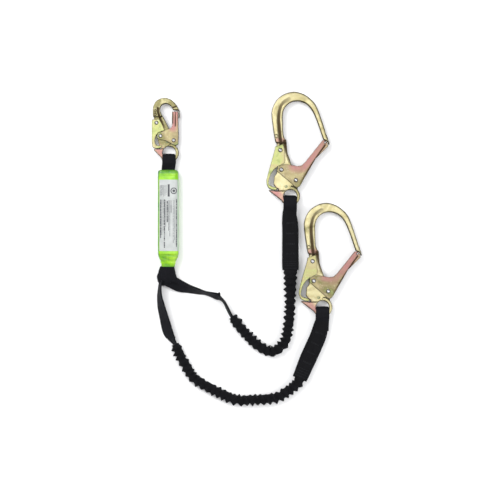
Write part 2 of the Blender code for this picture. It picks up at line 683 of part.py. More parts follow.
def build():
    clear_scene()
    home = collection("shock_absorbing_lanyard")
    cutters = collection("cutters")
    absorber_pack(home)
    leg_junction(home)
    leg_strap("leg_a_strap", home, STRAP_A, STRAP_A_ROLL)
    leg_strap("leg_b_strap", home, STRAP_B, STRAP_B_ROLL)
    elastic_leg("leg_a", home, SLEEVE_A)
    elastic_leg("leg_b", home, SLEEVE_B)
    build_hook("snap_hook", home, cutters, SNAP, SNAP_PIVOT)
    for leg, pivot, route, tail in (("a", REBAR_A_PIVOT, WEAR_A, (258.7, -114)),
                                    ("b", REBAR_B_PIVOT, WEAR_B, (284.3, -338))):
        axis = build_hook("rebar_hook_" + leg, home, cutters, REBAR, pivot)
        leg_end("leg_" + leg, home, route, axis.location.x / MM, axis.location.y / MM, tail)


build()
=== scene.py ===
# %% [markdown]
# # A twin-leg shock absorbing lanyard, laid out flat
#
# This lesson dresses a working model. The frame that we load already has every hook, gate,
# lever and strap in its right place, and it knows which pieces move together. Here we give
# each piece the shape and the finish that the eye expects: woven webbing, gathered elastic,
# shrunk green film and yellow plated steel. Nothing in the frame is moved: every new piece is
# built in the frame's own space, where the plain piece that it stands for already lies.

# %% Load the frame
import json
import math

import bmesh
import bpy
import numpy as np
from mathutils import Matrix, Vector, noise


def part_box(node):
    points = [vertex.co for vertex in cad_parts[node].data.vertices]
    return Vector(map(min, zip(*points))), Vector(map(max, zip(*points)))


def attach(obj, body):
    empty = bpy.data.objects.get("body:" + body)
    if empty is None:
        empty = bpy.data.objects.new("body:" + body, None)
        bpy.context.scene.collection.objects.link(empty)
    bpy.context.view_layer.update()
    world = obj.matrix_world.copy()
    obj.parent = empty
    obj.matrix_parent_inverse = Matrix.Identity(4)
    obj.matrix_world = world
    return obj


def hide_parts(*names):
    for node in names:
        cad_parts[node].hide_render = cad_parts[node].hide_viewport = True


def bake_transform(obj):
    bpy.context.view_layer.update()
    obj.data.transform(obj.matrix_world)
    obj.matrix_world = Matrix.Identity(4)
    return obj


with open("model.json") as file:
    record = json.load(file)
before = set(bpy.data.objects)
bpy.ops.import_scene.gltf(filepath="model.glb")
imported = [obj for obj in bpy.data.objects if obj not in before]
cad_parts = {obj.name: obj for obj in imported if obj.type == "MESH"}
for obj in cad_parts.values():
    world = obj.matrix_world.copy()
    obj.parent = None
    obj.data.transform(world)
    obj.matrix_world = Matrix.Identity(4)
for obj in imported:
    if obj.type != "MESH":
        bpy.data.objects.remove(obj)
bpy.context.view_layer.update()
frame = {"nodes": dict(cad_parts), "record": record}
MM = 0.001

# %% [markdown]
# ## The camera and the room
#
# The lanyard lies on a pale table and we look straight down at it, which shows its whole
# layout. A long lens far away keeps the hooks from seeming to lean. The light comes from big
# soft panels, because polished plating shows what is around it, and a large panel gives the
# broad pale bands on the steel.

# %% Camera, floor and soft light
VIEW_WIDTH = 1.06  # metres of table from one side of the view to the other
VIEW_CENTRE = Vector((0.173, -0.0774, 0.0))
HALF_HEIGHT = 0.012  # metres above the table, about half as high as the pack
LENS = 100.0
SENSOR = 36.0
FLOOR_SIZE = 12
FLOOR_DROP = 0.0005  # metres, so that the lanyard lies on the floor and not in it

camera = bpy.data.objects.new("camera", bpy.data.cameras.new("camera"))
camera.data.lens = LENS
camera.data.sensor_width = SENSOR
camera.data.clip_end = 20
camera.location = VIEW_CENTRE + Vector((0, 0, VIEW_WIDTH * LENS / SENSOR + HALF_HEIGHT))
bpy.context.scene.collection.objects.link(camera)
bpy.context.scene.camera = camera


def plain_material(name, colour, roughness):
    made = bpy.data.materials.new(name)
    made.use_nodes = True
    shader = made.node_tree.nodes["Principled BSDF"]
    shader.inputs["Base Color"].default_value = (*colour, 1)
    shader.inputs["Roughness"].default_value = roughness
    return made


FLOOR_PLACE = (VIEW_CENTRE.x, VIEW_CENTRE.y, -FLOOR_DROP)
bpy.ops.mesh.primitive_plane_add(size=FLOOR_SIZE, location=FLOOR_PLACE)
floor = bpy.context.object
floor.name = "floor"
floor.data.materials.append(plain_material("pale_table", (0.93, 0.93, 0.93), 0.9))


def panel(name, place, size, power):
    """A soft light panel that faces the middle of the lanyard."""
    lamp = bpy.data.lights.new(name, "AREA")
    lamp.shape = "RECTANGLE"
    lamp.size, lamp.size_y = size
    lamp.energy = power
    obj = bpy.data.objects.new(name, lamp)
    obj.location = VIEW_CENTRE + Vector(place)
    obj.rotation_euler = (VIEW_CENTRE - obj.location).to_track_quat("-Z", "Y").to_euler()
    bpy.context.scene.collection.objects.link(obj)


panel("key_panel", (-1.3, 1.1, 1.9), (1.5, 1.5), 56)
panel("fill_panel", (1.7, -0.6, 1.6), (1.6, 1.0), 32)
panel("top_panel", (0.1, 0.3, 3.4), (1.4, 1.4), 26)
print("camera height", round(camera.location.z, 2), "m")

# %% [markdown]
# The room itself is a plain sky, dim near the horizon and bright overhead. It fills the
# shadows, and the steel mirrors its dim band along the edges, which darkens them together
# with the painted shade on the steel's flanks.

# %% Light of the room
HORIZON, OVERHEAD = (0.16, 0.15, 0.15, 1), (0.92, 0.93, 0.96, 1)
SKY_STRENGTH = 0.6
world = bpy.data.worlds.new("studio")
bpy.context.scene.world = world
world.use_nodes = True
sky = world.node_tree
direction = sky.nodes.new("ShaderNodeTexCoord")
split = sky.nodes.new("ShaderNodeSeparateXYZ")
shade = sky.nodes.new("ShaderNodeValToRGB")
sky.links.new(direction.outputs["Generated"], split.inputs["Vector"])
sky.links.new(split.outputs["Z"], shade.inputs["Fac"])
sky.links.new(shade.outputs["Color"], sky.nodes["Background"].inputs["Color"])
shade.color_ramp.elements[0].position = 0.25
shade.color_ramp.elements[0].color = HORIZON
shade.color_ramp.elements[1].position = 0.85
shade.color_ramp.elements[1].color = OVERHEAD
sky.nodes["Background"].inputs["Strength"].default_value = SKY_STRENGTH
bpy.context.scene.view_settings.view_transform = "Standard"
print("sky strength", SKY_STRENGTH)

# %% [markdown]
# ## Helpers for building along a path
#
# Straps, sleeves and the pack are all the same kind of thing to a maker: one cross-section
# that travels along a line while it widens, thins and rolls over. So we need a smooth line
# through a few points, a ring with rounded corners, and the directions across and up at
# each place on the line.

# %% Paths and rings


def mm(x, y, z=0.0):
    return Vector((x, y, z)) * MM


def smooth_path(points, step):
    """A Catmull-Rom curve through points (tuples of any length), cut every step or so."""
    points = [Vector(p) for p in points]
    padded = [2 * points[0] - points[1], *points, 2 * points[-1] - points[-2]]
    made = []
    for i in range(1, len(padded) - 2):
        p0, p1, p2, p3 = padded[i - 1:i + 3]
        count = max(1, round((p2 - p1).length / step))
        for k in range(count):
            t = k / count
            made.append(0.5 * (2 * p1 + (p2 - p0) * t + (2 * p0 - 5 * p1 + 4 * p2 - p3) * t * t
                               + (3 * p1 - p0 - 3 * p2 + p3) * t ** 3))
    made.append(points[-1])
    return made


def superellipse(half_width, half_thick, power, count):
    """Corners of a rounded box-like ring, evenly spread round its edge."""
    dense = []
    fine = count * 8  # many more corners than asked for, to measure the edge by
    for i in range(fine):
        a = math.tau * i / fine
        c, s = math.cos(a), math.sin(a)
        dense.append(Vector((half_width * math.copysign(abs(c) ** (2 / power), c),
                             half_thick * math.copysign(abs(s) ** (2 / power), s))))
    lengths = [0.0]
    for i in range(len(dense)):
        lengths.append(lengths[-1] + (dense[(i + 1) % len(dense)] - dense[i]).length)
    ring, at = [], 0
    for i in range(count):
        want = lengths[-1] * i / count
        while lengths[at + 1] < want:
            at += 1
        t = (want - lengths[at]) / max(1e-9, lengths[at + 1] - lengths[at])
        ring.append(dense[at].lerp(dense[(at + 1) % len(dense)], t))
    return ring


def frame_along(centres, i, roll):
    """The directions along, across and up at a point of a path, rolled by degrees."""
    along = (centres[min(i + 1, len(centres) - 1)] - centres[max(i - 1, 0)]).normalized()
    across = Vector((0, 0, 1)).cross(along)
    across = across.normalized() if across.length > 0.05 else Vector((1, 0, 0))
    up = along.cross(across).normalized()
    turn = Matrix.Rotation(math.radians(roll), 3, along)
    return along, turn @ across, turn @ up


print("a strap's corners in mm:", [tuple(round(c, 1) for c in p) for p in superellipse(14, 1.7, 7, 8)])

# %% [markdown]
# ## Skins and clothes
#
# `loft` joins rings into a closed skin and lays the UV map out in metres, so a weave has the
# same thread size on every piece. `dress` then gives a finished piece its material and the
# body that it moves with, and hides the plain pieces of the frame that it stands for.

# %% Lofts and dressing


def show(name, mesh):
    obj = bpy.data.objects.new(name, mesh)
    bpy.context.scene.collection.objects.link(obj)
    mesh.shade_smooth()
    return obj


def show_shape(name, shape):
    """Turn a finished bmesh into an object."""
    mesh = bpy.data.meshes.new(name)
    shape.to_mesh(mesh)
    shape.free()
    return show(name, mesh)


def loft(name, rings):
    """Skin a list of rings of points. UVs are metres round and along the skin."""
    shape = bmesh.new()
    uv = shape.loops.layers.uv.new("UVMap")
    verts = [[shape.verts.new(p) for p in ring] for ring in rings]
    count = len(rings[0])
    along, middle = [0.0], [sum(r, Vector()) / len(r) for r in rings]
    for a, b in zip(middle, middle[1:]):
        along.append(along[-1] + (b - a).length)
    around = [0.0]
    sample = rings[len(rings) // 2]
    for j in range(count):
        around.append(around[-1] + (sample[(j + 1) % count] - sample[j]).length)
    for i in range(len(rings) - 1):
        for j in range(count):
            k = (j + 1) % count
            face = shape.faces.new((verts[i][j], verts[i][k], verts[i + 1][k], verts[i + 1][j]))
            corners = ((j, i), (j + 1, i), (j + 1, i + 1), (j, i + 1))
            for loop, (cj, ci) in zip(face.loops, corners):
                loop[uv].uv = (around[cj], along[ci])
    for end in (verts[0], verts[-1]):
        face = shape.faces.new(end)
        for loop in face.loops:
            loop[uv].uv = (loop.vert.co.x, loop.vert.co.y)
    bmesh.ops.recalc_face_normals(shape, faces=shape.faces)
    return show_shape(name, shape)


def middle_of(node):
    low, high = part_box(node)
    return (low + high) / 2


def cover_with(piece, material):
    piece.data.materials.clear()
    piece.data.materials.append(material)


def dress(piece, body, slot, material, *nodes):
    """Give a finished piece its material and its body, and hide the nodes that it stands for."""
    cover_with(piece, material)
    if body:
        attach(piece, body)
    if nodes:
        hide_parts(*nodes)
    print(piece.name, len(piece.data.polygons), "faces")
    return piece


print("middle of the pack in mm:", [round(c / MM, 1) for c in middle_of("absorber_cover")])

# %% [markdown]
# ## A short way to write a material
#
# A material is a net of small nodes. Writing out every node and link hides the idea, so this
# class adds a node, plugs values or other nodes into it, and hands back what comes out.

# %% Shader nodes


class Graph:
    """A short way to add and link shader nodes."""

    def __init__(self, name):
        self.material = bpy.data.materials.new(name)
        self.material.use_nodes = True
        self.tree = self.material.node_tree
        self.shader = self.tree.nodes["Principled BSDF"]

    def plug(self, value, socket):
        """Link a socket to a node's output, or give it a plain value."""
        if isinstance(value, bpy.types.NodeSocket):
            self.tree.links.new(value, socket)
        else:
            socket.default_value = value

    def add(self, kind, inputs=None, **settings):
        node = self.tree.nodes.new(kind)
        for key, value in settings.items():
            setattr(node, key, value)
        for key, value in (inputs or {}).items():
            self.plug(value, node.inputs[key])
        return node

    def set(self, **values):
        for key, value in values.items():
            self.plug(value, self.shader.inputs[key.replace("_", " ")])

    def place(self):
        """Where a point is on the object, in metres."""
        return self.add("ShaderNodeTexCoord").outputs["Object"]

    def painted(self, name):
        """A value that was painted on the points of the mesh."""
        return self.add("ShaderNodeAttribute", attribute_name=name).outputs["Fac"]

    def noise(self, place, scale, detail, **more):
        inputs = {"Vector": place, "Scale": scale, "Detail": detail, **more}
        return self.add("ShaderNodeTexNoise", inputs).outputs["Fac"]

    def ramp(self, factor, *stops):
        node = self.add("ShaderNodeValToRGB", {"Fac": factor})
        elements = node.color_ramp.elements
        while len(elements) < len(stops):
            elements.new(0.5)
        for element, (place, colour) in zip(elements, stops):
            element.position = place
            element.color = (*colour, 1)
        return node.outputs["Color"]

    def math(self, operation, a, b):
        return self.add("ShaderNodeMath", {0: a, 1: b}, operation=operation).outputs[0]

    def mix(self, factor, a, b):
        """Two colours, mixed; the numbers are the colour sockets of the mix node."""
        return self.add("ShaderNodeMix", {0: factor, 6: a, 7: b}, data_type="RGBA").outputs[2]

    def bump(self, height, strength, distance, normal=None):
        inputs = {"Height": height, "Strength": strength, "Distance": distance}
        if normal is not None:
            inputs["Normal"] = normal
        return self.add("ShaderNodeBump", inputs).outputs["Normal"]


# %% [markdown]
# ## Black webbing
#
# Lanyard webbing is polyester woven into thick warp cords that run along the strap, with a
# fine weft across. Up close the cords catch the light as a row of small ridges, and from a
# distance the strap is a deep soft black with a faint cool sheen. The ridges come from two
# wave textures on the UV map, one for each thread direction, so they follow every bend.

# %% Webbing material

WAVE_TURNS = 20.0  # the wave texture makes scale * 20 / tau bands in each unit


def thread_wave(graph, vector, axis, pitch):
    """A wave texture whose bands are pitch metres apart and wander a little."""
    return graph.add("ShaderNodeTexWave", {
        "Vector": vector, "Scale": math.tau / WAVE_TURNS / pitch, "Distortion": 0.6,
        "Detail": 1.0, "Detail Scale": 1.5}, bands_direction=axis).outputs["Fac"]


def woven(name, dark, light, warp=0.0014, weft=0.0009, rough=0.72, relief=0.0005):
    g = Graph(name)
    uv = g.add("ShaderNodeUVMap").outputs["UV"]
    place = g.place()
    cords = thread_wave(g, uv, "X", warp)
    picks = thread_wave(g, uv, "Y", weft)
    weave = g.math("ADD", g.math("MULTIPLY", cords, 0.7), g.math("MULTIPLY", picks, 0.3))
    dust = g.noise(place, 55.0, 4.0)
    fibre = g.noise(place, 900.0, 2.0)
    shade = g.math("MULTIPLY", g.math("ADD", g.math("MULTIPLY", weave, 0.75), dust), 0.58)
    colour = g.ramp(shade, (0.15, dark), (0.85, light))
    worn = g.math("ADD", rough - 0.08, g.math("MULTIPLY", dust, 0.16))
    soft = g.bump(fibre, 0.35, 0.0003)
    g.set(Base_Color=colour, Roughness=worn, Normal=g.bump(weave, 0.8, relief, soft),
          Sheen_Weight=0.03, Sheen_Roughness=0.45, Sheen_Tint=(0.55, 0.6, 0.75, 1),
          Specular_IOR_Level=0.12)
    return g.material


webbing = woven("black_webbing", (0.001, 0.001, 0.0015), (0.009, 0.0095, 0.013))
sleeve_cloth = woven("black_sleeve", (0.0008, 0.0008, 0.001), (0.008, 0.008, 0.010),
                     warp=0.0022, weft=0.0013, rough=0.8, relief=0.0006)
print("cloths:", webbing.name, sleeve_cloth.name)

# %% [markdown]
# ## The elastic legs
#
# Each leg is a tube of webbing gathered over a stretchy core. At rest the cloth is much
# longer than the core, so it bunches into a row of deep puckers, about twelve millimetres
# apart. The two tubes lie loose on the table, so they are free cords: we write their
# route, smooth it, and ring it closely. Each ring's radius rises and falls with its
# place along the tube, and noise makes every pucker lean and swell in its own way.

# %% Gathered sleeves
SLEEVE_RADIUS = 10.5
SLEEVE_HEIGHT = SLEEVE_RADIUS + 0.5
SLEEVE_A = [(135.4, -218.8), (154, -243.2), (172.6, -263.7), (190, -279.6), (207.5, -290),
            (219.8, -292.8), (235.7, -284.7), (248, -269), (253.3, -246.1), (256.9, -217.9),
            (258.6, -183), (258.6, -147.8), (259, -119)]
SLEEVE_B = [(14.2, -277.1), (23.5, -298.7), (35.8, -320.3), (50.7, -344.7), (69.5, -359.6),
            (91.2, -371.6), (112.8, -382.4), (134.4, -392), (156, -396), (183.2, -394.7),
            (210.3, -393.3), (234.5, -388), (256.1, -374.4), (272.4, -360.8), (280, -348)]
FLOOR_REST = 0.3  # height of the lowest fibres above the table
PUCKER_PITCH = 12.2
PUCKER_DEPTH = 3.3
PUCKER_RISE = 0.56  # the part of each pitch in which the cloth rises
SLEEVE_SIDES = 48
THINNEST, THICKEST = 7.6, 15.2  # limits of the radius
FLARE_LENGTH = 62  # how long before its end a sleeve starts to widen


def pucker(along, angle, seed, side):
    """How far the gathered cloth stands out, less than 0 in a valley and more on a ridge."""
    wander = noise.noise(Vector((along * 0.03, math.cos(angle) * 0.5, seed)))
    lean = 0.10 * math.sin(angle + seed) + 0.55 * wander
    turn = (along / PUCKER_PITCH + lean) % 1.0
    saw = turn / PUCKER_RISE if turn < PUCKER_RISE else (1 - turn) / (1 - PUCKER_RISE)
    swell = 0.86 + side * math.cos(angle)
    swell += 0.95 * noise.noise(Vector((along * 0.08, math.cos(angle) * 1.3, seed + 9)))
    soft = 0.5 * saw ** 1.15 + 0.5 * saw * saw * (3 - 2 * saw)
    return (2 * soft - 0.85) * min(1.35, max(0.15, swell))


def gathered_sleeve(name, route, seed, side, flare):
    """side says on which side the gathers are deeper, and flare widens the end at the hook."""
    centres = smooth_path([mm(x, y, SLEEVE_HEIGHT) for x, y in route], 1.1 * MM)
    rings, along = [], 0.0
    total = sum((b - a).length for a, b in zip(centres, centres[1:])) / MM
    for i, centre in enumerate(centres):
        if i:
            along += (centre - centres[i - 1]).length / MM
        _, across, up = frame_along(centres, i, 0)
        from_end = total - along
        body = SLEEVE_RADIUS - 0.7 + flare * max(0.0, 1 - from_end / FLARE_LENGTH) ** 1.1
        body *= 0.8 + 0.2 * min(1.0, along / 12)
        calm = 0.25 + 0.75 * min(1.0, max(0.0, from_end - 4) / 10)
        ring = []
        for j in range(SLEEVE_SIDES):
            angle = math.tau * j / SLEEVE_SIDES
            stand = PUCKER_DEPTH * calm * pucker(along, angle, seed, side)
            fine = 0.4 * math.sin(angle * 11 + along * 0.8 + 4 * noise.noise(centre * 90))
            radius = min(THICKEST, max(THINNEST, body + stand * 0.8 + fine))
            point = centre + (across * math.cos(angle) + up * math.sin(angle) * 0.9) * radius * MM
            point.z = max(point.z, FLOOR_REST * MM)
            ring.append(point)
        rings.append(ring)
    return loft(name, rings), centres, total * MM


for leg, route, seed, side, flare in (("a", SLEEVE_A, 3.1, 0.22, 4.2),
                                      ("b", SLEEVE_B, 7.7, -0.26, 0.4)):
    piece, centres, length = gathered_sleeve("gathered_sleeve_" + leg, route, seed, side, flare)
    dress(piece, "root", "black_sleeve", sleeve_cloth, f"leg_{leg}_elastic_sleeve")
    print("leg", leg, "gathered length", round(length / MM), "mm")

# %% [markdown]
# ## The flat legs and the sewn bundle
#
# Before a leg becomes elastic it is plain webbing, 28 mm wide. One leg leaves the sewn bundle
# almost flat and then rolls up on its edge, and the other starts on its edge and lies down
# again, so both look thin where they stand up. One cross-section does it all: we write the
# route, the roll and the width at a few places, and the smooth path carries them along
# together. The height follows from the roll.

# %% Leg straps
STRAP_WIDTH = 28.0
STRAP_THICK = 3.4
STRAP_HEIGHT = 12.5  # the stiff webbing keeps its middle at least this high
NARROW = 26  # in steps of width: a gathered strap that is narrower than this lies lower
NARROW_HEIGHT = 10.5
SIDE_CORNERS = 22
WIDTH_STEPS = 30  # what the full width counts for on the path
CORNER_REACH = 3.6
# x, y, roll in degrees, part of the full width
STRAP_A = [(-4, -139, 8, 1.0), (12, -147.5, 14, 1.0), (24, -153.5, 24, 1.0),
           (42, -159.2, 50, 1.0), (64, -165, 65, 1.0), (79, -168.6, 74, 0.98),
           (94, -172.6, 66, 0.97), (103, -175.6, 60, 0.96), (109.5, -179.6, 72, 0.93),
           (115.5, -184.6, 79, 0.9), (121, -192.4, 79, 0.86), (127.6, -206.0, 76, 0.8),
           (135, -219.5, 76, 0.7), (146, -233.5, 78, 0.55)]
STRAP_B = [(-14.5, -141, 78, 0.9), (-17.3, -150, 77, 0.95), (-18.4, -163, 74, 1.0),
           (-18.3, -176, 67, 1.0), (-16.6, -188, 60, 1.0), (-13.8, -202.5, 53, 1.0),
           (-9.2, -220.3, 47, 1.0), (-4.6, -238, 40, 1.0), (-1.2, -250, 40, 1.0),
           (3.2, -259.5, 44, 0.94), (8.4, -268, 54, 0.78), (13.6, -276, 63, 0.62),
           (20, -291, 70, 0.5)]


def leg_strap(name, stations, corner=None):
    """corner is where the cut end of the upper layer pokes out beside the strap."""
    path = smooth_path([(x, y, roll, WIDTH_STEPS * wide) for x, y, roll, wide in stations], 2.6)
    centres, widths, rolls = [], [], []
    for x, y, roll, wide in path:
        half = STRAP_WIDTH / 2 * wide / WIDTH_STEPS
        tilt = math.radians(roll)
        rise = half * math.sin(tilt) + STRAP_THICK / 2 * math.cos(tilt) + FLOOR_REST
        centres.append(mm(x, y, max(rise, STRAP_HEIGHT if wide > NARROW else NARROW_HEIGHT)))
        widths.append(half)
        rolls.append(roll)
    rings = []
    for i, centre in enumerate(centres):
        _, across, up = frame_along(centres, i, rolls[i])
        cup = 0.9 * noise.noise(centre * 45)
        ring = []
        for p in superellipse(widths[i], STRAP_THICK / 2, 7, SIDE_CORNERS * 2):
            bow = cup * (1 - (p.x / widths[i]) ** 2)
            point = centre + (across * p.x + up * (p.y + bow)) * MM
            if corner and p.x > 0.75 * widths[i]:
                away = (centre - corner).length / MM
                point += mm(2.6, 4.6, -1.5) * max(0.0, 1 - away / CORNER_REACH)
            ring.append(point)
        rings.append([Vector((p.x, p.y, max(p.z, FLOOR_REST * MM))) for p in ring])
    return loft(name, rings)


strap_a = leg_strap("leg_a_flat_strap", STRAP_A, mm(105, -176.6, 12))
strap_b = leg_strap("leg_b_flat_strap", STRAP_B)
dress(strap_a, "root", "black_webbing", webbing, "leg_a_strap")
dress(strap_b, "root", "black_webbing", webbing, "leg_b_strap")

# %% [markdown]
# The bundle itself is the two legs and the tear webbing folded together and sewn hard. A
# plain tapered lump would look like putty, so the rings get long folds that run down the
# bundle, and a flap of webbing is wrapped over its front.

# %% Sewn bundle
# y, centre x, half width, half thickness, height of the middle
BUNDLE = [(-110.5, -1.4, 13.4, 8.2, 12.0), (-113, -1.6, 14.2, 9.0, 11.8),
          (-119, -2.6, 16.4, 9.8, 11.4), (-127, -3.8, 19.3, 10.0, 11.0),
          (-134.6, -4.0, 21.6, 9.8, 10.8), (-141, -4.6, 20.2, 9.4, 10.4),
          (-145.5, -7.4, 15.0, 8.8, 10.0), (-149.5, -9.6, 9.6, 7.4, 9.4),
          (-152.5, -11.0, 4.6, 5.0, 9.0), (-153.6, -11.4, 2.2, 3.0, 9.0)]


def sewn_bundle():
    path = smooth_path(BUNDLE, 1.3)
    rings = []
    for y, x, half_width, half_thick, height in path:
        ring = []
        for p in superellipse(half_width, half_thick, 3.2, 64):
            angle = math.atan2(p.y, p.x)
            fold = noise.noise(Vector((math.cos(angle) * 2.6, math.sin(angle) * 2.6, y * 0.05)))
            crease = abs(noise.noise(Vector((p.x * 0.10 + y * 0.05, p.x * 0.05, 4.0))))
            scale = 1 + 0.085 * fold - 0.05 * max(0.0, 0.25 - crease) * 4
            ring.append(mm(x + p.x * scale, y, max(FLOOR_REST, height + p.y * scale)))
        rings.append(ring)
    return loft("sewn_bundle", rings)


dress(sewn_bundle(), "root", "black_webbing", webbing, "leg_junction")


FLAP = [(-4.6, -112), (-4.2, -122), (-3, -132), (1, -140), (8, -146)]
FLAP_FADE = 36  # the flap flattens and sinks over this length


def wrap_flap():
    """The turned-over end of webbing that lies across the front of the bundle."""
    rings = []
    for x, y in smooth_path(FLAP, 1.5):
        t = (FLAP[0][1] - y) / FLAP_FADE
        half = 12.5 + 5.5 * math.sin(min(1.0, t * 1.25) * math.pi * 0.62)
        lift = 20.4 + 0.9 * math.sin(t * math.pi) - 2.6 * t
        ring = []
        for p in superellipse(half, 1.1, 6, 40):
            sag = 3.4 * (p.x / half) ** 2
            ring.append(mm(x + p.x, y - 0.22 * p.x * t, lift + p.y - sag))
        rings.append(ring)
    return loft("bundle_flap", rings)


dress(wrap_flap(), "root", "black_webbing", webbing)

# %% [markdown]
# ## The webbing through each eye
#
# Under every hook a strap runs up one side, through the eye and down the other side, and is
# sewn to itself. The real strap has to bend when the hook swings. In the side view each
# strap is a hairpin, and it narrows a little where it passes through the round eye.

# %% Webbing loops
def joint_places(ending):
    """Where each hook has the joint whose name has this ending."""
    return {joint["name"].removesuffix(ending): joint["pos_m"]
            for joint in frame["record"]["behaviour"]["joints"] if joint["name"].endswith(ending)}


swing_axis = {hook: Vector(place) for hook, place in joint_places("_swing").items()}
print("swing axes in mm:", {k: [round(c / MM, 1) for c in v] for k, v in swing_axis.items()})
LOOP_THICK = 3.0
EYE_HALF = 6.5  # half the space that the strap has inside the round eye
EYE_WIDTH = 24.8  # the strap's width where it is squeezed by the eye


def eye_strap(name, hook, tail, wide, lean):
    """tail is how far the strap runs below the swing axis, wide is its width below the eye,
    and lean is how far its lower end stands to the side."""
    axis = swing_axis[hook]
    low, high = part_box(hook + "_webbing_loop")
    outer = (high.z - low.z) / 2 / MM - 0.2
    radius = outer - LOOP_THICK / 2
    top = (high.y - axis.y) / MM - LOOP_THICK / 2 - 0.1
    front = [(-tail, 1.7), (-8, 1.9), (-3, 2.4), (2, 4.6), (6.5, 6.9), (11, radius),
             (top - radius, radius)]
    arch = [(top - radius + radius * math.sin(a), radius * math.cos(a))
            for a in (math.radians(d) for d in (25, 50, 75, 90, 105, 130, 155))]
    back = [(y, -z) for y, z in reversed(front)]
    path = smooth_path(front + arch + back, 1.2)
    rings = []
    for i, point in enumerate(path):
        ahead = path[min(i + 1, len(path) - 1)] - path[max(i - 1, 0)]
        along = Vector((0, ahead.x, ahead.y)).normalized()
        up = Vector((0, -along.z, along.y))
        through = max(0.0, 1 - abs(point.y) / EYE_HALF) if point.x > top - radius else 0.0
        half = (wide + (EYE_WIDTH - wide) * min(1.0, through * 1.6)) / 2
        ring = []
        for p in superellipse(half, LOOP_THICK / 2, 6, 36):
            edge = 0.5 * noise.noise(Vector((point.x * 0.12, p.x * 0.2, 5.0)))
            shift = lean * max(0.0, min(1.0, (8 - point.x) / (8 + tail)))
            ring.append(axis + mm(p.x + shift, 0) + (up * (p.y + edge)) * MM
                        + Vector((0, point.x, point.y)) * MM)
        rings.append(ring)
    return loft(name, rings)


def share(piece):
    """Bake the piece's place in the room into its own mesh."""
    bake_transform(piece)


for hook, tail, wide, lean, under in (("snap_hook", 17, 28.5, -3.2, "absorber_top_strap"),
                                      ("rebar_hook_a", 22, 28.6, -1.0, "leg_a_end_strap"),
                                      ("rebar_hook_b", 22, 28.6, -1.5, "leg_b_end_strap")):
    strap = eye_strap(hook + "_eye_strap", hook, tail, wide, lean)
    dress(strap, None, "black_webbing", webbing, hook + "_webbing_loop", under)
    share(strap)

# %% [markdown]
# ## Wear sleeves
#
# A flat tube of tougher cloth is pulled over the end of each leg, where the steel would
# otherwise rub it. It is stiff enough to keep straight edges, but its two faces are never
# quite flat. Four rows of lock stitching cross its lower end, and four zigzag tacks hold it
# along its length. We lay each stitch down as a small stretched bead, since real stitches
# stand proud of the cloth.

# %% Wear sleeves
# x, y, width, thickness
WEAR_A = [(256.8, 13.0, 25.0, 9), (256.5, 7, 27, 10), (256.6, -4, 30.5, 12), (257.6, -18, 33.6, 13.4),
          (258.6, -40, 34.6, 14.2), (258.6, -80, 35.2, 14.6), (258.8, -110, 35.4, 15.2),
          (258.9, -120, 34.0, 16)]
WEAR_B = [(326.6, -220.6, 25.5, 9), (325.9, -227, 28, 10), (323.0, -239.5, 32, 12.2),
          (317.6, -259.7, 34.4, 14.0), (306.6, -285.1, 35.2, 14.6), (294.5, -312, 35.0, 15),
          (278.4, -350.5, 31.5, 16)]
SWING_HEIGHT = middle_of("rebar_hook_a_frame").z / MM
STITCH = (0.95, 0.28)  # half the length of a stitch and its radius
HEM_ROWS = (3, 6, 9, 12)  # rings from the lower end
TACKS = (0.26, 0.42, 0.58, 0.73)  # places along the sleeve


def wear_sleeve(name, stations, seed):
    path = smooth_path(stations, 1.8)
    centres = [mm(x, y, SWING_HEIGHT) for x, y, _, _ in path]
    rings = []
    for i, (_, _, wide, thick) in enumerate(path):
        _, across, up = frame_along(centres, i, 0)
        ring = []
        for p in superellipse(wide / 2, thick / 2, 3.0, 60):
            fold = noise.noise(Vector((p.x * 0.16, i * 0.035, seed + (p.y > 0) * 5)))
            cross = noise.noise(Vector((p.x * 0.03, i * 0.33, seed + 2)))
            side = 1 if p.y > 0 else -1
            dent = side * (0.75 * fold + 0.38 * cross) * (1 - abs(2 * p.x / wide) ** 4)
            edge = 1 + 0.016 * noise.noise(Vector((i * 0.22, side, seed)))
            ring.append(centres[i] + (across * p.x * edge + up * (p.y + dent)) * MM)
        rings.append(ring)
    return loft(name, rings), centres


def bead_rows(name, rows):
    """Stitches, laid as beads along each row of points in millimetres."""
    shape = bmesh.new()
    for row in rows:
        for a, b in zip(row, row[1:]):
            along = Vector(b) - Vector(a)
            turn = along.to_track_quat("X", "Z").to_matrix().to_4x4()
            place = Matrix.Translation((Vector(a) + Vector(b)) / 2 * MM) @ turn
            stretch = Matrix.Diagonal((STITCH[0] * MM, STITCH[1] * MM, STITCH[1] * MM, 1))
            bmesh.ops.create_uvsphere(shape, u_segments=6, v_segments=5, radius=1,
                                      matrix=place @ stretch)
    return show_shape(name, shape)


def rows_across(piece, centres, places, half, pitch, zigzag=0.0):
    """Points of rows that cross a sleeve on both faces, found on its own skin."""
    bpy.context.view_layer.update()
    rows = []
    for place in places:
        along, across, up = frame_along(centres, place, 0)
        for side in (1, -1):
            row = []
            for k in range(int(2 * half / pitch) + 1):
                start = centres[place] + (across * (k * pitch - half) + up * side * 30) * MM
                start += along * zigzag * MM * (-1) ** k
                hit, at, _, _ = piece.ray_cast(start, -up * side)
                if hit:
                    row.append(tuple(at / MM))
            rows.append(row)
    return rows


